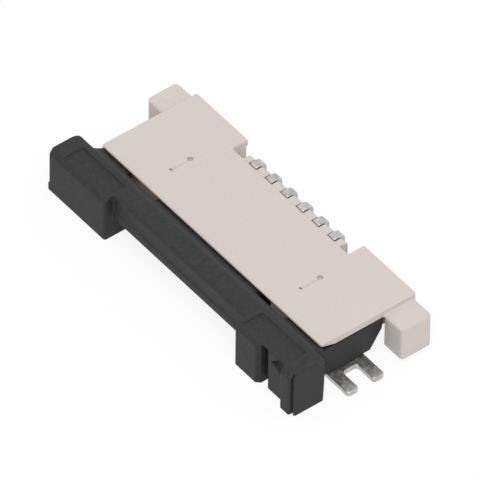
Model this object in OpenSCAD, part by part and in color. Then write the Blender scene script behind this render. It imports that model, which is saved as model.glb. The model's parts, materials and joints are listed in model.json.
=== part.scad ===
// Right-angle surface-mount connector for a flat flexible cable, with a slide
// lock. An ivory housing holds a row of stamped fork contacts and two solder
// tabs. A black slider runs on the housing's side walls: pushed home, its
// tongue presses the cable down onto the contacts.
// Units are millimetres. The board is the plane Z = 0, X runs along the row of
// contacts, and the cable enters from -Y. The modules work from the front edge
// of the housing's top plate (Y = 0) and are moved to the final origin, the
// bottom centre of the whole connector, by place().

/* [Contacts] */
// Number of contacts in the row
contact_count = 6; // [4:1:30]
// Distance between neighbouring contacts
pitch = 0.5; // [0.4:0.05:1]
// Thickness of a stamped contact
contact_t = 0.2; // [0.12:0.01:0.24]
// Height of the upper beam
beam_h = 0.14; // [0.1:0.01:0.2]
// Thickness of the solder tail
tail_t = 0.12; // [0.08:0.01:0.16]
// How far the tail stands out behind the top plate
tail_out = 0.32; // [0.2:0.01:0.6]
// How far the shoulder stands out behind the plate's middle edge
shoulder_out = 0.33; // [0.28:0.01:0.38]
// How far the shoulder lies below the top of the plate
shoulder_drop = 0.03; // [0.01:0.005:0.1]

/* [Cable] */
// Thickness of the cable's stiffened end
cable_t = 0.3; // [0.2:0.01:0.4]
// Clearance over the cable and at each of its edges
cable_gap = 0.02; // [0.01:0.005:0.05]
// Distance from the contact point to the cable's stop
cable_past = 0.5; // [0.35:0.01:0.6]

/* [Housing] */
// Top plate beyond the centre of the end contact
plate_margin = 2.25; // [1.85:0.05:3]
// Top plate from front to back
plate_l = 2.38; // [2:0.01:3]
// Thickness of the top plate
plate_t = 0.17; // [0.12:0.01:0.25]
// Thickness of the top plate at its front edge
plate_front_t = 0.06; // [0.04:0.005:0.1]
// Length of the bevel under the plate's front edge
plate_bevel_l = 0.35; // [0.2:0.01:0.5]
// Depth of the step in the plate's rear edge, behind the contacts
recess_l = 0.4; // [0.34:0.01:0.45]
// Half width of that step beyond the centre of the end contact
recess_margin = 0.6; // [0.55:0.01:0.8]
// Height of the housing's underside above the board
base_lift = 0.06; // [0.04:0.01:0.1]
// Thickness of the floor under the cable
floor_t = 0.14; // [0.11:0.01:0.2]
// How far the floor stands out in front of the top plate
floor_front = 0.2; // [0.05:0.01:0.22]
// Set-back of the side walls behind the plate's front edge
wall_back = 0.1; // [0.09:0.01:0.2]
// Length of the comb ribs behind the plate's middle edge
rib_out = 0.24; // [0.1:0.01:0.28]
// How far the comb ribs lie below the top of the plate
rib_drop = 0.05; // [0.02:0.01:0.15]

/* [Rear lugs] */
// Width of a lug beyond the side of the top plate
lug_w = 0.57; // [0.3:0.01:0.7]
// Lug from front to back
lug_l = 0.77; // [0.5:0.01:0.9]
// Set-back of the lug's rear face from the plate's rear edge
lug_inset = 0.037; // [0.02:0.001:0.1]
// How far the lug's top lies below the top of the plate
lug_drop = 0.12; // [0.08:0.01:0.15]
// Height of the lug's underside above the board
lug_lift = 0.09; // [0.06:0.01:0.2]
// Radius of the round mark on the left lug
lug_mark_r = 0.17; // [0.1:0.01:0.2]

/* [Plate slits] */
// Solder tab's leg beyond the centre of the end contact
slit_margin = 0.82; // [0.75:0.01:0.95]
// Distance of the slit's front end from the plate's front edge
slit_front = 0.67; // [0.5:0.01:0.8]
// Length of the slit
slit_l = 0.48; // [0.3:0.01:0.6]
// Width of the slit
slit_w = 0.035; // [0.02:0.005:0.05]
// Radius of the pit at the slit's rear end
slit_pit_r = 0.06; // [0.04:0.005:0.07]

/* [Slider] */
// Height of the slider's top above the plate's top
slider_rise = 0.12; // [0.05:0.01:0.2]
// Height of the slider's underside above the board
slider_lift = 0.02; // [0.02:0.005:0.05]
// How far the slider runs from closed to open
travel = 0.5; // [0.3:0.05:0.6]
// Width of an ear beyond the side of the top plate
ear_w = 0.44; // [0.3:0.01:0.6]
// Inner face of an end block beyond the centre of the end contact
block_margin = 0.89; // [0.85:0.01:1]
// Front of an end block ahead of the plate
block_front = 0.98; // [0.9:0.01:1.2]
// Front of the middle bar ahead of the plate
bar_front = 0.75; // [0.6:0.01:0.85]
// Rear face of the ears ahead of the plate
ear_back = 0.24; // [0.24:0.01:0.3]
// Top of the sloped rear of the slider ahead of the plate
slope_out = 0.3; // [0.24:0.01:0.4]
// How far the sloped rear of the slider reaches under the plate
slope_in = 0.06; // [0.02:0.005:0.06]
// Width of each side arm
arm_w = 0.42; // [0.3:0.01:0.5]
// Slant of the arm's rear end
arm_slant = 0.34; // [0.2:0.01:0.4]
// How far the latch hook stands in from the arm
hook_in = 0.12; // [0.06:0.01:0.15]
// Length of the latch hook
hook_l = 0.12; // [0.08:0.01:0.16]
// Thickness of the tongue over the cable
tongue_t = 0.15; // [0.1:0.01:0.2]
// Tongue beyond the centre of the end contact
tongue_margin = 0.25; // [0.15:0.01:0.4]
// Width of the open notch between the tongue and an arm's root
notch_w = 0.93; // [0.7:0.01:1.15]
// Depth of the shallow pads on the end blocks
pad_depth = 0.05; // [0.02:0.005:0.06]

/* [Solder tabs] */
// Thickness of the tab's sheet
tab_t = 0.12; // [0.08:0.01:0.15]
// How far the tab stands out beyond the side of the top plate
tab_out = 0.66; // [0.5:0.01:0.9]
// Distance of the tab's front edge from the plate's front edge
tab_front = 0.17; // [0.14:0.01:0.3]
// Width of the tab, from front to back
tab_w = 0.92; // [0.7:0.01:1]
// Width of the notch between its two prongs
tab_notch_w = 0.36; // [0.25:0.01:0.4]
// Length of the prongs
tab_prong_l = 0.53; // [0.3:0.01:0.6]
// Front-to-back width of the upright leg inside the side wall
tab_leg_w = 0.44; // [0.3:0.01:0.6]

/* [Fits] */
// Running gap between the slider and the housing
slide_gap = 0.03; // [0.02:0.005:0.04]
// Gap at each side of a contact in its slot
contact_gap = 0.02; // [0.01:0.005:0.03]
// Gap round a solder tab in the side wall
tab_gap = 0.01; // [0.005:0.005:0.02]

/* [Hidden] */

// Small features that keep their size
arc_steps = 6;         // straight pieces in a rounded corner
over = 0.1;            // how far a cutter runs past what it cuts
beam_gap = 0.02;       // tongue to upper beam
neck_l = 0.29;         // thick root of the tongue behind the slope
neck_gap = 0.1;        // tongue's root to the nose of the upper beam
point_back = 0.3;      // nose of the upper beam to the contact point
nose_ahead = 0.15;     // nose of the lower beam ahead of the upper one
fork_back = 0.08;      // cable stop to the root of the fork
arm_end_gap = 0.4;     // rear end of the arms to the lug's web
web_l = 0.36;          // lug's web from front to back
tongue_short = 0.15;   // tongue's nose to the cable stop
contact_step = 0.1;    // contact's foot steps up to clear the board ahead of it
slot_ahead = 0.08;     // contact slot ahead of the lower beam's nose
tab_headroom = 0.02;   // solder tab to the slider's arm above it
leg_drop = 0.06;       // top of the solder tab's leg below the plate's underside
hook_inset = 0.05;     // rear of the latch hook to the arm's lower end
mark_back = 0.23;      // centre of the round mark behind the lug's front
mark_in = 0.05;        // centre of the round mark inside the lug's middle
slope_power = 1.4;     // 1 is a straight slope, more is a hollow one
slit_shift = -0.06;    // both slits lie a little left of the tabs' legs
slit_nose_r = 0.04;    // radius of the small pit at a slit's front end
notch_shift = -0.09;   // both notches lie a little left of their middle
notch_gap = 0.1;       // tongue to the notch beside it, before that shift
notch_out = 0.09;      // notch ahead of the plate's front edge
end_rib = 0.04;        // outer half width of the comb's two end ribs
arm_bend_share = 0.85; // share of the arm's slant at which it turns upright
arm_bend_rise = 0.64;  // share of the arm's height at which it does so
key_in = 0.06;         // keyed block's inner face inside the plain block's
pad_a_proud = 0.05;    // keyed block's front pad, ahead of its front
pad_a_w = 0.68;        // its width
key_slot_w = 0.19;     // keyed block's slot beside that pad
key_slot_depth = 0.2;  // its depth behind the recess
key_slot_drop = 0.07;  // its closed top, below the slider's top
key_recess = 0.05;     // depth of the keyed block's recess
pad_c_proud = 0.085;   // corner pad of the keyed block, ahead of its front
pad_c_w = 0.3;         // its width
pad_c_inset = 0.09;    // corner pad to the block's outer face
key_groove_w = 0.05;   // groove between the corner pad and the rim outside it
key_rim_proud = 0.02;  // rim outside the corner pad, ahead of the block's front

// Half widths, from the middle of the row
row_x = (contact_count - 1) * pitch / 2;
cable_x = row_x + pitch;
plate_x = row_x + plate_margin;
lug_x = plate_x + lug_w;
ear_x = plate_x + ear_w;
tab_x = plate_x + tab_out;
arm_x = plate_x - arm_w;
wall_x = arm_x - slide_gap;
slot_x = cable_x + 1.5 * cable_gap;
recess_x = row_x + recess_margin;
tongue_x = row_x + tongue_margin;
notch_x = tongue_x + notch_gap + notch_w / 2;
block_x = row_x + block_margin;
key_x = block_x - key_in;
floor_x = key_x - slide_gap;
leg_x = row_x + slit_margin;

// Heights, from the board up
floor_z = base_lift + floor_t;
tongue_z = floor_z + cable_t + cable_gap;
tongue_top = tongue_z + tongue_t;
beam_z = tongue_top + beam_gap;
beam_top = beam_z + beam_h;
under_z = beam_top + slide_gap;
plate_z = under_z + plate_t;
arm_top = under_z - slide_gap;
arm_z = tab_t + tab_headroom;
slider_z = plate_z + slider_rise;
shoulder_z = plate_z - shoulder_drop;
rib_z = plate_z - rib_drop;
edge_under = plate_front_t + (plate_t - plate_front_t) * slope_in / plate_bevel_l;
slope_z = plate_z - edge_under - slide_gap;
lug_z = plate_z - lug_drop;
leg_z = under_z - leg_drop;

// Places from front to back, from the plate's front edge
neck_y = slope_in + neck_l;
beam_y = neck_y + neck_gap;
point_y = beam_y + point_back;
nose_y = beam_y - nose_ahead;
stop_y = point_y + cable_past;
fork_y = stop_y + fork_back;
recess_y = plate_l - recess_l;
shoulder_y = recess_y + shoulder_out;
tail_y = plate_l + tail_out;
lug_back = plate_l - lug_inset;
lug_front = lug_back - lug_l;
web_front = lug_back - web_l;
arm_end = web_front - arm_end_gap;
arm_low_end = arm_end - arm_slant;
hook_back = arm_low_end - hook_inset;
tongue_end = stop_y - tongue_short;

// The right block's front: a pad, a slot, a recess with a pocket, a corner pad
pad_a_end = block_x + pad_a_w;
front_y = -block_front - pad_c_proud;
mid_y = (front_y + tail_y) / 2;

function arc(cx, cy, r, from, to) =
    [for (i = [0:arc_steps]) let (a = from + (to - from) * i / arc_steps)
        [cx + r * cos(a), cy + r * sin(a)]];

// Moves the finished connector to its origin, its bottom centre.
module place() { translate([0, -mid_y, 0]) children(); }

// A box from its low corner to its high corner.
module span(low, high) { translate(low) cube(high - low); }

// A profile drawn as [Y, Z], extruded along X from x0 to x1.
module along_x(x0, x1) {
    translate([x0, 0, 0]) rotate([90, 0, 90]) linear_extrude(x1 - x0) children();
}

// A profile drawn as [X, Z], extruded along Y from y0 to y1.
module along_y(y0, y1) {
    translate([0, y1, 0]) rotate([90, 0, 0]) linear_extrude(y1 - y0) children();
}

// The children and their mirror image across the middle of the row.
module both_sides() {
    children();
    mirror([1, 0, 0]) children();
}

// ---------------------------------------------------------------- contacts

// A stamped fork: solder tail, tall rounded shoulder, upper beam under the
// plate, lower beam with the contact point that touches the cable.
module contact_profile() {
    bump_r = 0.13;
    crown_r = 0.08;
    nose_r = 0.05;
    beam_low = base_lift + 0.02;
    beam_high = floor_z - 0.03;
    point_z = floor_z + 0.02;
    point_half = 0.12;
    upright = 0.12;
    root_y = shoulder_y - upright - contact_step;
    foot_y = shoulder_y - upright;
    polygon(concat(
        [[foot_y, 0], [tail_y - nose_r, 0]],
        arc(tail_y - nose_r, nose_r, nose_r, -90, 0),
        [[tail_y, tail_t], [shoulder_y + nose_r, tail_t]],
        arc(shoulder_y + nose_r, tail_t + nose_r, nose_r, 270, 180),
        arc(shoulder_y - bump_r, shoulder_z - bump_r, bump_r, 0, 90),
        arc(recess_y + crown_r + contact_gap, shoulder_z - crown_r, crown_r, 90, 180),
        [[recess_y + contact_gap, beam_top]],
        arc(beam_y + nose_r, beam_top - nose_r, nose_r, 90, 180),
        [[beam_y, beam_z + nose_r], [beam_y + nose_r, beam_z],
         [fork_y, beam_z], [fork_y, beam_high],
         [point_y + point_half, beam_high], [point_y + nose_r, point_z],
         [point_y - nose_r, point_z], [point_y - point_half, beam_high],
         [nose_y + nose_r, beam_high], [nose_y, beam_high - nose_r],
         [nose_y, beam_low], [root_y, beam_low]]));
}

module contact(i) {
    x = -row_x + (i - 1) * pitch;
    color("gainsboro") along_x(x - contact_t / 2, x + contact_t / 2) contact_profile();
}

// ------------------------------------------------------------- solder tabs

// The forked foot, drawn in plan for the right-hand tab.
module tab_foot_plan() {
    tip_r = 0.07;
    tab_back = tab_front + tab_w;
    notch_front = tab_front + (tab_w - tab_notch_w) / 2;
    notch_back = notch_front + tab_notch_w;
    root = tab_x - tab_prong_l;
    polygon(concat(
        [[leg_x - tab_t / 2, tab_front]],
        arc(tab_x - tip_r, tab_front + tip_r, tip_r, -90, 0),
        arc(tab_x - tip_r, notch_front - tip_r, tip_r, 0, 90),
        arc(root + tip_r, notch_front + tip_r, tip_r, 270, 180),
        arc(root + tip_r, notch_back - tip_r, tip_r, 180, 90),
        arc(tab_x - tip_r, notch_back + tip_r, tip_r, -90, 0),
        arc(tab_x - tip_r, tab_back - tip_r, tip_r, 0, 90),
        [[leg_x - tab_t / 2, tab_back]]));
}

// The sheet seen from the front: the upright leg, the bend and the foot.
module tab_bend_profile() {
    bend_r = tab_t;
    polygon(concat(
        [[leg_x - tab_t / 2, leg_z], [leg_x - tab_t / 2, bend_r]],
        arc(leg_x - tab_t / 2 + bend_r, bend_r, bend_r, 180, 270),
        [[tab_x + over, 0], [tab_x + over, tab_t], [leg_x + tab_t / 2, tab_t],
         [leg_x + tab_t / 2, leg_z]]));
}

module solder_tab() {
    tab_back = tab_front + tab_w;
    color("lightgray") intersection() {
        along_y(tab_front - over, tab_back + over) tab_bend_profile();
        union() {
            linear_extrude(tab_t) tab_foot_plan();
            span([leg_x - tab_t, tab_back - tab_leg_w, 0], [leg_x + tab_t, tab_back, under_z]);
        }
    }
}

// ----------------------------------------------------------------- housing

module top_plate() {
    edge_r = 0.03;
    corner_r = 0.05;
    intersection() {
        along_x(-plate_x, plate_x) polygon(concat(
            [[plate_bevel_l, under_z], [0, plate_z - plate_front_t]],
            arc(edge_r, plate_z - edge_r, edge_r, 180, 90),
            [[plate_l - edge_r / 2, plate_z], [plate_l, plate_z - edge_r / 2],
             [plate_l, under_z]]));
        linear_extrude(plate_z) polygon(concat(
            arc(-plate_x + corner_r, corner_r, corner_r, 180, 270),
            arc(plate_x - corner_r, corner_r, corner_r, 270, 360),
            arc(plate_x - corner_r, plate_l - corner_r, corner_r, 0, 90),
            [[recess_x, plate_l], [recess_x, recess_y],
             [-recess_x, recess_y], [-recess_x, plate_l]],
            arc(-plate_x + corner_r, plate_l - corner_r, corner_r, 90, 180)));
    }
}

// A lug at a rear corner, and the web that joins it to the wall and plate.
module lug() {
    corner_r = 0.07;
    rear_r = 0.12;
    inner_r = 0.03;
    edge = 0.05;
    intersection() {
        translate([0, 0, lug_lift]) linear_extrude(lug_z - lug_lift) polygon(concat(
            arc(plate_x + inner_r, lug_front + inner_r, inner_r, 180, 270),
            arc(lug_x - corner_r, lug_front + corner_r, corner_r, 270, 360),
            arc(lug_x - rear_r, lug_back - rear_r, rear_r, 0, 90),
            [[plate_x - over, lug_back], [plate_x - over, web_front],
             [plate_x, web_front]]));
        along_x(0, lug_x) polygon([
            [lug_front, lug_lift], [lug_back, lug_lift],
            [lug_back, lug_z - edge], [lug_back - edge, lug_z],
            [lug_front + edge, lug_z], [lug_front, lug_z - edge]]);
    }
    span([wall_x - over, web_front, lug_lift], [plate_x, lug_back, under_z + over]);
}

module side_wall() {
    difference() {
        span([slot_x, wall_back, base_lift], [wall_x, lug_back, under_z + over]);
        span([0, recess_y, 0], [recess_x, plate_l + over, plate_z]);
    }
}

// The floor under the cable, with a lead-in on its front edge.
module cable_floor() {
    lead = 0.08;
    along_x(-floor_x, floor_x) polygon([
        [-floor_front, base_lift], [recess_y, base_lift], [recess_y, floor_z],
        [-floor_front + 2 * lead, floor_z], [-floor_front, floor_z - lead]]);
}

// The rear block that stops the cable; the contacts' slots leave it a comb.
module rear_comb() {
    end_r = 0.06;
    top_r = 0.1;
    comb_x = row_x + pitch / 2 + end_rib;
    span([-slot_x - over, stop_y, base_lift], [slot_x + over, recess_y, under_z + over]);
    intersection() {
        along_x(-comb_x, comb_x) polygon(concat(
            [[recess_y - over, base_lift], [recess_y + rib_out, base_lift]],
            arc(recess_y + rib_out - top_r, rib_z - top_r, top_r, 0, 90),
            [[recess_y - over, rib_z]]));
        // each rib has a rounded end
        linear_extrude(plate_z) for (i = [0:contact_count]) {
            x = (i - contact_count / 2) * pitch;
            half = (pitch - contact_t) / 2 - contact_gap;
            polygon(concat(
                [[x - half, recess_y - over]],
                [[x + half, recess_y - over]],
                arc(x + half - end_r, recess_y + rib_out - end_r, end_r, 0, 90),
                arc(x - half + end_r, recess_y + rib_out - end_r, end_r, 90, 180)));
        }
    }
}

// A contact's slot through the floor and the comb, up to the plate.
module contact_slot(i) {
    x = -row_x + (i - 1) * pitch;
    half = contact_t / 2 + contact_gap;
    along_x(x - half, x + half) polygon([
        [nose_y - slot_ahead, -over], [tail_y, -over], [tail_y, plate_z + over],
        [recess_y, plate_z + over], [recess_y, under_z], [nose_y - slot_ahead, under_z]]);
}

// The space for a solder tab: a slot for its leg and a channel for its foot.
module tab_seat() {
    tab_back = tab_front + tab_w;
    half = tab_t / 2 + tab_gap;
    span([leg_x - half, tab_back - tab_leg_w - tab_gap, -over],
         [leg_x + half, tab_back + tab_gap, leg_z + tab_gap]);
    span([leg_x - half, tab_front - tab_gap, -over],
         [plate_x, tab_back + tab_gap, tab_t + tab_gap]);
}

// The groove in the side wall that the arm's latch hook runs in.
module hook_groove() {
    span([wall_x - hook_in, hook_back - hook_l - travel - slide_gap, arm_z],
         [wall_x + over, hook_back + slide_gap, under_z]);
}

// A fine slit near the tab's leg, with a small pit at each end.
module plate_slit(x) {
    slit_depth = 0.08;
    slit_back = slit_front + slit_l;
    span([x - slit_w / 2, slit_front, plate_z - slit_depth],
         [x + slit_w / 2, slit_back, plate_z + over]);
    translate([x, slit_front, plate_z - slit_depth])
        cylinder(r = slit_nose_r, h = slit_depth + over, $fn = 24);
    translate([x, slit_back, plate_z - slit_depth])
        cylinder(r = slit_pit_r, h = slit_depth + over, $fn = 24);
}

// The shallow round mark left by an ejector pin on the left lug.
module lug_mark() {
    mark_depth = 0.02;
    translate([mark_in - (plate_x + lug_x) / 2, lug_front + mark_back, lug_z - mark_depth])
        cylinder(r = lug_mark_r, h = mark_depth + over, $fn = 48);
}

module housing() {
    color("antiquewhite") difference() {
        union() {
            top_plate();
            both_sides() { lug(); side_wall(); }
            cable_floor();
            rear_comb();
        }
        for (i = [1:contact_count]) contact_slot(i);
        both_sides() { tab_seat(); hook_groove(); }
        for (side = [-1, 1]) plate_slit(side * leg_x + slit_shift);
        lug_mark();
    }
}

// ------------------------------------------------------------------ slider

// The curve that falls from the slider's top to go under the plate.
function slope_points() =
    [for (i = [0:arc_steps]) let (s = i / arc_steps)
        [-slope_out + (slope_in + slope_out) * s,
         slider_z - (slider_z - slope_z) * (1 - pow(1 - s, slope_power))]];

// Cross-section of the middle bar: a proud lip along the foot of its front.
module bar_profile() {
    edge = 0.06;
    lip = 0.03;
    lip_h = 0.2;
    polygon(concat(
        [[slope_in, tongue_z], [-bar_front - lip + edge / 2, tongue_z],
         [-bar_front - lip, tongue_z + edge / 2],
         [-bar_front - lip, tongue_z + lip_h], [-bar_front, tongue_z + lip_h + lip],
         [-bar_front, slider_z - edge], [-bar_front + edge, slider_z]],
        slope_points()));
}

// Side view of an end block: chamfered along the top of its front.
module block_profile(proud) {
    edge_y = 0.1;
    edge_z = 0.14;
    draft = 0.03;
    bulge = 0.03;
    rear_edge = 0.03;
    mid_z = (slider_lift + slider_z) / 2;
    polygon([
        [-ear_back - draft, slider_lift], [-block_front - proud, slider_lift],
        [-block_front - proud, slider_z - edge_z], [-block_front + edge_y, slider_z],
        [-ear_back - rear_edge, slider_z], [-ear_back, slider_z - rear_edge],
        [-ear_back + bulge, mid_z]]);
}

// Plan of the plain block on the left, drawn for the right-hand side.
module plain_block_plan() {
    corner_r = 0.22;
    front_r = 0.05;
    outer_r = 0.03;
    rear_y = -ear_back + over / 2;
    polygon(concat(
        arc(block_x + front_r, -block_front + front_r, front_r, 180, 270),
        arc(ear_x - outer_r, -block_front + outer_r, outer_r, 270, 360),
        arc(ear_x - corner_r, rear_y - corner_r, corner_r, 0, 90),
        [[block_x, rear_y]]));
}

// Plan of the keyed block on the right: front pad, recess and corner pad.
module keyed_block_plan() {
    corner_r = 0.12;
    front_r = 0.05;
    edge = 0.03;
    slot_edge = 0.09;
    rear_y = -ear_back + over / 2;
    rim_y = -block_front - key_rim_proud;
    c_end = ear_x - pad_c_inset;
    c_start = c_end - pad_c_w;
    a_y = -block_front - pad_a_proud;
    b_y = -block_front + key_recess;
    polygon(concat(
        arc(key_x + front_r, a_y + front_r, front_r, 180, 270),
        [[pad_a_end - slot_edge, a_y], [pad_a_end, a_y + slot_edge],
         [pad_a_end, b_y], [c_start, b_y], [c_start, front_y + edge],
         [c_start + edge, front_y], [c_end - edge, front_y], [c_end, front_y + edge],
         [c_end, b_y], [c_end + key_groove_w, b_y], [c_end + key_groove_w, rim_y],
         [ear_x - edge, rim_y], [ear_x, rim_y + edge]],
        arc(ear_x - corner_r, rear_y - corner_r, corner_r, 0, 90),
        [[key_x, rear_y]]));
}

// The upright slot beside the front pad, closed above and open below.
module key_slot() {
    b_y = -block_front + key_recess;
    span([pad_a_end, b_y - over, 0],
         [pad_a_end + key_slot_w, b_y + key_slot_depth, slider_z - key_slot_drop]);
}

// The small wedge-shaped pocket in the keyed block's recess.
module key_pocket() {
    pocket_w = 0.43;
    pocket_h = 0.39;
    pocket_top_w = 0.16;
    pocket_rise = 0.23;
    pocket_depth = 0.09;
    pocket_drop = 0.06;
    b_y = -block_front + key_recess;
    x1 = ear_x - pad_c_inset - pad_c_w;
    z1 = slider_z - pocket_drop;
    along_y(b_y - over, b_y + pocket_depth) polygon([
        [x1 - pocket_w, z1 - pocket_rise], [x1 - pocket_top_w, z1], [x1, z1],
        [x1, z1 - pocket_h], [x1 - pocket_top_w / 2, z1 - pocket_h]]);
}

// The shallow pad sunk in the top of an end block, open to its front.
module block_pad() {
    pad_in = 0.04;
    pad_out = 0.075;
    pad_back = 0.174;
    span([block_x + pad_in, -block_front - over, slider_z - pad_depth],
         [plate_x + pad_out, -ear_back - pad_back, slider_z + over]);
}

// A side arm, running back under the plate beside the wall.
module arm() {
    taper_x = 0.03;
    taper_y = 0.06;
    root = -ear_back - 2 * over;
    bend_y = arm_low_end + arm_bend_share * arm_slant;
    bend_z = arm_z + arm_bend_rise * (arm_top - arm_z);
    intersection() {
        along_x(arm_x, plate_x) polygon([
            [root, arm_z], [arm_low_end, arm_z], [bend_y, bend_z],
            [arm_end, arm_top], [root, arm_top]]);
        linear_extrude(slider_z) polygon([
            [arm_x, root], [plate_x, root],
            [plate_x, arm_end - taper_y], [plate_x - taper_x, arm_end], [arm_x, arm_end]]);
    }
    hook();
}

// The latch hook inside the arm, with a ramp at its rear.
module hook() {
    hook_z = arm_z + slide_gap;
    translate([0, 0, hook_z]) linear_extrude(arm_top - slide_gap - hook_z) polygon([
        [arm_x + over, hook_back - hook_l], [arm_x - hook_in, hook_back - hook_l],
        [arm_x - hook_in, hook_back - hook_l / 2], [arm_x, hook_back],
        [arm_x + over, hook_back]]);
}

// The tongue that presses the cable down, with a wedge nose and a thick root.
module tongue() {
    nose = 0.2;
    along_x(-tongue_x, tongue_x) polygon([
        [-ear_back, tongue_z], [tongue_end - nose, tongue_z],
        [tongue_end, tongue_top - tongue_t / 2], [tongue_end - nose / 2, tongue_top],
        [neck_y + 0.08, tongue_top], [neck_y, arm_top], [-ear_back, arm_top]]);
}

// The open notch behind the slope, between the tongue and an arm's root.
module slope_notch(x) {
    span([x - notch_w / 2, -notch_out, 0],
         [x + notch_w / 2, slope_in + over, slider_z + over]);
}

// The moulded step at the foot of the left end face.
module end_step() {
    step_out = 0.03;
    step_h = 0.2;
    step_back = 0.21;
    span([-ear_x - step_out, -block_front, slider_lift],
         [-ear_x + over, -ear_back - step_back, slider_lift + step_h]);
}

module slider() {
    color("dimgray") difference() {
        union() {
            along_x(-plate_x, plate_x) bar_profile();
            mirror([1, 0, 0]) intersection() {
                linear_extrude(slider_z) plain_block_plan();
                along_x(0, ear_x) block_profile(0);
            }
            intersection() {
                linear_extrude(slider_z) keyed_block_plan();
                along_x(0, ear_x) block_profile(pad_c_proud);
            }
            both_sides() arm();
            tongue();
            end_step();
        }
        both_sides() block_pad();
        for (side = [-1, 1]) slope_notch(side * notch_x + notch_shift);
        key_pocket();
        key_slot();
    }
}

place() housing();
place() slider();
place() mirror([1, 0, 0]) solder_tab();  // solder_tab_left
place() solder_tab();  // solder_tab_right
for (i = [1:contact_count])
    place() contact(i);
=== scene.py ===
"""Looks of a right-angle, surface-mount connector for a flat flexible cable, closed.

Each moulded or stamped piece is a copy of its CAD node whose outer edges are rounded as a mould or
a press tool leaves them, with a finish worked out from a real size. Lengths are in metres; the
names that end in _MM are in millimetres.
"""

import json
import math

import bpy
from mathutils import Matrix, Quaternion, Vector

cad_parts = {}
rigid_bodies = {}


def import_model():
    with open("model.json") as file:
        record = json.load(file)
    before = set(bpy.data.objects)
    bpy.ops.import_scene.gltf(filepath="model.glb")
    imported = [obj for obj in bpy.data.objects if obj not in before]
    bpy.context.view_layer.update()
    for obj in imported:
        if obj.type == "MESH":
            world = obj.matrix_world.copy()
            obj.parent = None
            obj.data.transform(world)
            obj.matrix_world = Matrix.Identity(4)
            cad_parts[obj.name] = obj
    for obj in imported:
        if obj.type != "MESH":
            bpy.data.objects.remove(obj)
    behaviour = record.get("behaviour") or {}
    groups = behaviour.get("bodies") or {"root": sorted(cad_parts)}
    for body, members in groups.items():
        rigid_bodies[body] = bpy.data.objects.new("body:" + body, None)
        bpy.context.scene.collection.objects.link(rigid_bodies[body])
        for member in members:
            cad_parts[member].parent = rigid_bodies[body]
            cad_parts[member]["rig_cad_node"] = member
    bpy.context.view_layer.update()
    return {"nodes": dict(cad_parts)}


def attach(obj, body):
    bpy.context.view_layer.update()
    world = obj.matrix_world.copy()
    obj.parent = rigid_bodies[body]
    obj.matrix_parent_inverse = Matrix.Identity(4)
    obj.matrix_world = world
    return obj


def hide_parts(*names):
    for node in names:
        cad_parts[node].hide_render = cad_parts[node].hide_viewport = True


MM = 0.001

for leftover in list(bpy.data.objects):
    bpy.data.objects.remove(leftover)
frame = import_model()

# Camera: a long lens well back, above the front right corner
AIM_MM = (-0.052, -0.044, 0.637)
VIEW_AZIMUTH = 51.593
VIEW_ELEVATION = 45.256
VIEW_ROLL = 0.637
VIEW_DISTANCE_MM = 333.3
SENSOR_MM = 36.0
LENS_MM = 1272.0

# Light and stage
KEY_PLACE_MM = (35, -27, 95)
KEY_SIZE_MM = 60
KEY_POWER = 0.037
SKY_STRENGTH = 0.70
FLOOR_SIZE_MM = 900.0
GLOW_SHARE = 0.85
GLOW_STRENGTH = 1.03

# Rounding of edges, and the share of each moulding's faces that is kept afterwards
VOXEL_MM = 0.02
SOFTENING_ROUNDS = 6
HOUSING_KEEP = 0.5
SLIDER_KEEP = 0.75
TAB_EDGE_MM = 0.02
CONTACT_EDGE_MM = 0.03
WELD_MM = 1e-4
FLAT_ANGLE = math.radians(1)
SHARP_ANGLE = math.radians(28)
SMOOTH_ANGLE = math.radians(40)

# Noise seldom leaves this band, so a finish's two ends are put at its limits
NOISE_LOW = 0.3
NOISE_HIGH = 0.7


# ---------------------------------------------------------------- camera, light and floor

def make_camera():
    azimuth, elevation = math.radians(VIEW_AZIMUTH), math.radians(VIEW_ELEVATION)
    back = Vector((math.sin(azimuth) * math.cos(elevation),
                   -math.cos(azimuth) * math.cos(elevation),
                   math.sin(elevation)))
    data = bpy.data.cameras.new("camera")
    data.sensor_width = SENSOR_MM
    data.lens = LENS_MM
    data.clip_start = 0.5 * VIEW_DISTANCE_MM * MM
    data.clip_end = 2.0 * VIEW_DISTANCE_MM * MM
    camera = bpy.data.objects.new("camera", data)
    camera.rotation_mode = "QUATERNION"
    camera.location = (Vector(AIM_MM) + back * VIEW_DISTANCE_MM) * MM
    roll = Quaternion((0, 0, 1), math.radians(VIEW_ROLL))
    camera.rotation_quaternion = (-back).to_track_quat("-Z", "Y") @ roll
    bpy.context.scene.collection.objects.link(camera)
    bpy.context.scene.camera = camera


def make_lamp(name, place_mm, size_mm, power):
    """A square soft box that faces the connector."""
    data = bpy.data.lights.new(name, "AREA")
    data.shape = "SQUARE"
    data.size = size_mm * MM
    data.energy = power
    lamp = bpy.data.objects.new(name, data)
    lamp.location = Vector(place_mm) * MM
    lamp.rotation_mode = "QUATERNION"
    lamp.rotation_quaternion = (-lamp.location).to_track_quat("-Z", "Y")
    bpy.context.scene.collection.objects.link(lamp)


def add(tree, kind, inputs=None, **settings):
    """Adds a node, sets its properties, and sets or links its inputs by name or number.

    By number, a Map Range runs from 1 and 2 to 3 and 4, and a colour Mix has its factor at 0 and
    its colours at 6 and 7.
    """
    made = tree.nodes.new(kind)
    for key, value in settings.items():
        setattr(made, key, value)
    for key, value in (inputs or {}).items():
        if isinstance(value, bpy.types.NodeSocket):
            tree.links.new(value, made.inputs[key])
        else:
            made.inputs[key].default_value = value
    return made


def hex_colour(code):
    """An sRGB hex colour as linear RGBA."""
    parts = [int(code[i:i + 2], 16) / 255 for i in (0, 2, 4)]
    return [p / 12.92 if p <= 0.04045 else ((p + 0.055) / 1.055) ** 2.4 for p in parts] + [1.0]


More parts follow.
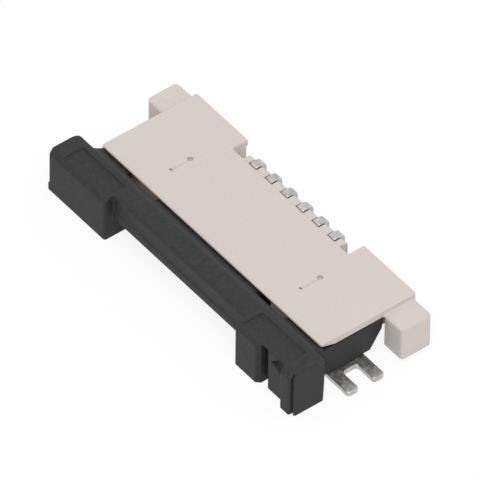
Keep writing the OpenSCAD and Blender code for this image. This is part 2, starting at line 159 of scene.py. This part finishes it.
def per_metre(size_mm):
    """The scale of a pattern whose cells are size_mm across on Object coordinates."""
    return 1 / (size_mm * MM)


def seen_directly(tree):
    """1 for what the eye sees straight, or in metal or glass, and 0 for what lights the object."""
    path = add(tree, "ShaderNodeLightPath")
    mirrored = add(tree, "ShaderNodeMath", operation="MAXIMUM",
                   inputs={0: path.outputs["Is Glossy Ray"],
                           1: path.outputs["Is Transmission Ray"]})
    return add(tree, "ShaderNodeMath", operation="MAXIMUM",
               inputs={0: path.outputs["Is Camera Ray"], 1: mirrored.outputs[0]}).outputs[0]


def make_sky():
    world = bpy.data.worlds.new("studio")
    bpy.context.scene.world = world
    world.use_nodes = True
    tree = world.node_tree
    tree.nodes.clear()
    light = add(tree, "ShaderNodeBackground",
                {"Color": hex_colour("ffffff"), "Strength": SKY_STRENGTH})
    white = add(tree, "ShaderNodeBackground", {"Color": hex_colour("ffffff"), "Strength": 1.0})
    mixed = add(tree, "ShaderNodeMixShader",
                {0: seen_directly(tree), 1: light.outputs[0], 2: white.outputs[0]})
    add(tree, "ShaderNodeOutputWorld", {"Surface": mixed.outputs[0]})


def make_floor():
    bpy.ops.mesh.primitive_plane_add(size=FLOOR_SIZE_MM * MM)
    floor = bpy.context.object
    floor.name = "floor"
    material = bpy.data.materials.new("white_card")
    material.use_nodes = True
    tree = material.node_tree
    tree.nodes.clear()
    card = add(tree, "ShaderNodeBsdfDiffuse", {"Color": hex_colour("f2f2f2")})
    glow = add(tree, "ShaderNodeEmission",
               {"Color": hex_colour("ffffff"), "Strength": GLOW_STRENGTH})
    share = add(tree, "ShaderNodeMath", operation="MULTIPLY",
                inputs={0: seen_directly(tree), 1: GLOW_SHARE})
    mixed = add(tree, "ShaderNodeMixShader",
                {0: share.outputs[0], 1: card.outputs[0], 2: glow.outputs[0]})
    add(tree, "ShaderNodeOutputMaterial", {"Surface": mixed.outputs[0]})
    floor.data.materials.append(material)


# ---------------------------------------------------------------- finishes

def new_material(name):
    """A material's node tree, cleared, and the Object coordinates in it."""
    material = bpy.data.materials.new(name)
    material.use_nodes = True
    material.node_tree.nodes.clear()
    place = add(material.node_tree, "ShaderNodeTexCoord").outputs["Object"]
    return material, material.node_tree, place


def ivory_lcp():
    """Moulded liquid-crystal polymer: satin, faintly mottled, with a warm tan shade painted into
    its hollows.
    """
    material, tree, place = new_material("ivory_lcp")
    cloud = add(tree, "ShaderNodeTexNoise",
                {"Vector": place, "Scale": per_metre(1.3), "Detail": 2.0})
    tint = add(tree, "ShaderNodeValToRGB", {"Fac": cloud.outputs["Fac"]})
    tint.color_ramp.elements[0].position = 0.35
    tint.color_ramp.elements[0].color = hex_colour("dacdc8")
    tint.color_ramp.elements[1].position = 0.65
    tint.color_ramp.elements[1].color = hex_colour("d9d0c8")
    grain = add(tree, "ShaderNodeTexNoise",
                {"Vector": place, "Scale": per_metre(0.06), "Detail": 3.0})
    shade = add(tree, "ShaderNodeMapRange",
                {"Value": grain.outputs["Fac"], 1: NOISE_LOW, 2: NOISE_HIGH, 3: 0.97, 4: 1.0})
    toned = add(tree, "ShaderNodeMix", {0: 1.0, 6: tint.outputs[0], 7: shade.outputs[0]},
                data_type="RGBA", blend_type="MULTIPLY")
    # Painted shade: where ambient occlusion finds a hollow, the colour is pulled towards a warm
    # tan
    hollow = add(tree, "ShaderNodeAmbientOcclusion", {"Distance": 0.3 * MM}, samples=8)
    painted_hollow_shade = add(tree, "ShaderNodeMapRange",
                  {"Value": hollow.outputs["AO"], 1: 0.1, 2: 0.6, 3: 0.9, 4: 0.0})
    colour = add(tree, "ShaderNodeMix",
                 {0: painted_hollow_shade.outputs[0], 6: toned.outputs[2], 7: hex_colour("c2a282")},
                 data_type="RGBA")
    satin = add(tree, "ShaderNodeMapRange",
                {"Value": grain.outputs["Fac"], 1: NOISE_LOW, 2: NOISE_HIGH, 3: 0.48, 4: 0.6})
    bump = add(tree, "ShaderNodeBump",
               {"Height": grain.outputs["Fac"], "Strength": 0.25, "Distance": 0.004 * MM})
    shader = add(tree, "ShaderNodeBsdfPrincipled",
                 {"Base Color": colour.outputs[2], "Roughness": satin.outputs[0],
                  "Normal": bump.outputs[0], "IOR": 1.5})
    add(tree, "ShaderNodeOutputMaterial", {"Surface": shader.outputs[0]})
    return material


def black_nylon():
    """Glass-filled black nylon: dull charcoal with a rough, uneven grain."""
    material, tree, place = new_material("black_glass_filled_nylon")
    grain = add(tree, "ShaderNodeTexNoise",
                {"Vector": place, "Scale": per_metre(0.07), "Detail": 4.0})
    tone = add(tree, "ShaderNodeValToRGB", {"Fac": grain.outputs["Fac"]})
    tone.color_ramp.elements[0].position = NOISE_LOW
    tone.color_ramp.elements[0].color = hex_colour("2b2b2b")
    tone.color_ramp.elements[1].position = NOISE_HIGH
    tone.color_ramp.elements[1].color = hex_colour("3a3a3b")
    dull = add(tree, "ShaderNodeMapRange",
               {"Value": grain.outputs["Fac"], 1: NOISE_LOW, 2: NOISE_HIGH, 3: 0.5, 4: 0.72})
    bump = add(tree, "ShaderNodeBump",
               {"Height": grain.outputs["Fac"], "Strength": 0.5, "Distance": 0.01 * MM})
    shader = add(tree, "ShaderNodeBsdfPrincipled",
                 {"Base Color": tone.outputs[0], "Roughness": dull.outputs[0],
                  "Normal": bump.outputs[0], "IOR": 1.5, "Specular IOR Level": 0.25})
    add(tree, "ShaderNodeOutputMaterial", {"Surface": shader.outputs[0]})
    return material


def matte_tin():
    """Matte tin plating on stamped brass: a soft grey metal with a fine, uneven grain."""
    material, tree, place = new_material("matte_tin_plate")
    grain = add(tree, "ShaderNodeTexNoise",
                {"Vector": place, "Scale": per_metre(0.08), "Detail": 3.0})
    tone = add(tree, "ShaderNodeValToRGB", {"Fac": grain.outputs["Fac"]})
    tone.color_ramp.elements[0].position = NOISE_LOW
    tone.color_ramp.elements[0].color = hex_colour("aeaca9")
    tone.color_ramp.elements[1].position = NOISE_HIGH
    tone.color_ramp.elements[1].color = hex_colour("cfcdca")
    matte = add(tree, "ShaderNodeMapRange",
                {"Value": grain.outputs["Fac"], 1: NOISE_LOW, 2: NOISE_HIGH, 3: 0.32, 4: 0.48})
    bump = add(tree, "ShaderNodeBump",
               {"Height": grain.outputs["Fac"], "Strength": 0.4, "Distance": 0.008 * MM})
    shader = add(tree, "ShaderNodeBsdfPrincipled",
                 {"Base Color": tone.outputs[0], "Metallic": 1.0, "Roughness": matte.outputs[0],
                  "Normal": bump.outputs[0]})
    add(tree, "ShaderNodeOutputMaterial", {"Surface": shader.outputs[0]})
    return material


# ---------------------------------------------------------------- pieces

def select_only(piece):
    bpy.ops.object.select_all(action="DESELECT")
    piece.select_set(True)
    bpy.context.view_layer.objects.active = piece


def merged_copy(node, name):
    """A welded copy of a CAD node, enlarged while it is worked on: a millimetre is one unit."""
    piece = frame["nodes"][node].copy()
    piece.data = frame["nodes"][node].data.copy()
    piece.name = piece.data.name = name
    piece.parent = None
    del piece["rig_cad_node"]
    bpy.context.scene.collection.objects.link(piece)
    piece.data.transform(Matrix.Scale(1 / MM, 4))
    select_only(piece)
    bpy.ops.object.mode_set(mode="EDIT")
    bpy.ops.mesh.select_all(action="SELECT")
    bpy.ops.mesh.remove_doubles(threshold=WELD_MM)
    bpy.ops.object.mode_set(mode="OBJECT")
    return piece


def finish_piece(piece, node, body, material):
    """Brings a piece back to metres, gives it its material, hangs it on its body and hides its CAD
    node.
    """
    piece.data.transform(Matrix.Scale(MM, 4))
    piece.data.materials.clear()
    piece.data.materials.append(material)
    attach(piece, body)
    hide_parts(node)


def moulding(node, name, keep):
    """A copy of a moulded node whose corners are soft inside and out, as a mould leaves them."""
    piece = merged_copy(node, name)
    piece.data.remesh_voxel_size = VOXEL_MM
    bpy.ops.object.voxel_remesh()
    soften = piece.modifiers.new("soften", "SMOOTH")
    soften.factor = 0.5
    soften.iterations = SOFTENING_ROUNDS
    bpy.ops.object.modifier_apply(modifier="soften")
    thinned = piece.modifiers.new("thinned", "DECIMATE")
    thinned.ratio = keep
    bpy.ops.object.modifier_apply(modifier="thinned")
    bpy.ops.object.shade_smooth()
    flats = piece.modifiers.new("flats", "WEIGHTED_NORMAL")
    bpy.ops.object.modifier_apply(modifier="flats")
    return piece


def stamping(node, name, radius_mm):
    """A copy of a stamped node with its sheared edges rounded."""
    piece = merged_copy(node, name)
    bpy.ops.object.mode_set(mode="EDIT")
    bpy.ops.mesh.dissolve_limited(angle_limit=FLAT_ANGLE)
    bpy.ops.object.mode_set(mode="OBJECT")
    rounding = piece.modifiers.new("rounding", "BEVEL")
    rounding.limit_method = "ANGLE"
    rounding.angle_limit = SHARP_ANGLE
    rounding.width = radius_mm
    rounding.segments = 3
    rounding.use_clamp_overlap = False
    bpy.ops.object.modifier_apply(modifier="rounding")
    bpy.ops.object.shade_smooth_by_angle(angle=SMOOTH_ANGLE)
    flats = piece.modifiers.new("flats", "WEIGHTED_NORMAL")
    flats.keep_sharp = True
    bpy.ops.object.modifier_apply(modifier="flats")
    return piece


make_camera()
make_sky()
make_lamp("key_soft_box", KEY_PLACE_MM, KEY_SIZE_MM, KEY_POWER)
make_floor()

ivory = ivory_lcp()
black = black_nylon()
tin = matte_tin()

housing = moulding("housing", "housing_moulding", HOUSING_KEEP)
finish_piece(housing, "housing", "housing", ivory)
slider = moulding("slider", "slider_moulding", SLIDER_KEEP)
finish_piece(slider, "slider", "slider", black)
for side in ("left", "right"):
    node = f"solder_tab_{side}"
    tab = stamping(node, f"tab_{side}_stamping", TAB_EDGE_MM)
    finish_piece(tab, node, "housing", tin)
for number in range(1, 7):
    node = f"contact_{number}"
    contact = stamping(node, f"{node}_stamping", CONTACT_EDGE_MM)
    finish_piece(contact, node, "housing", tin)

bpy.context.scene.view_settings.view_transform = "Standard"

bpy.context.view_layer.update()
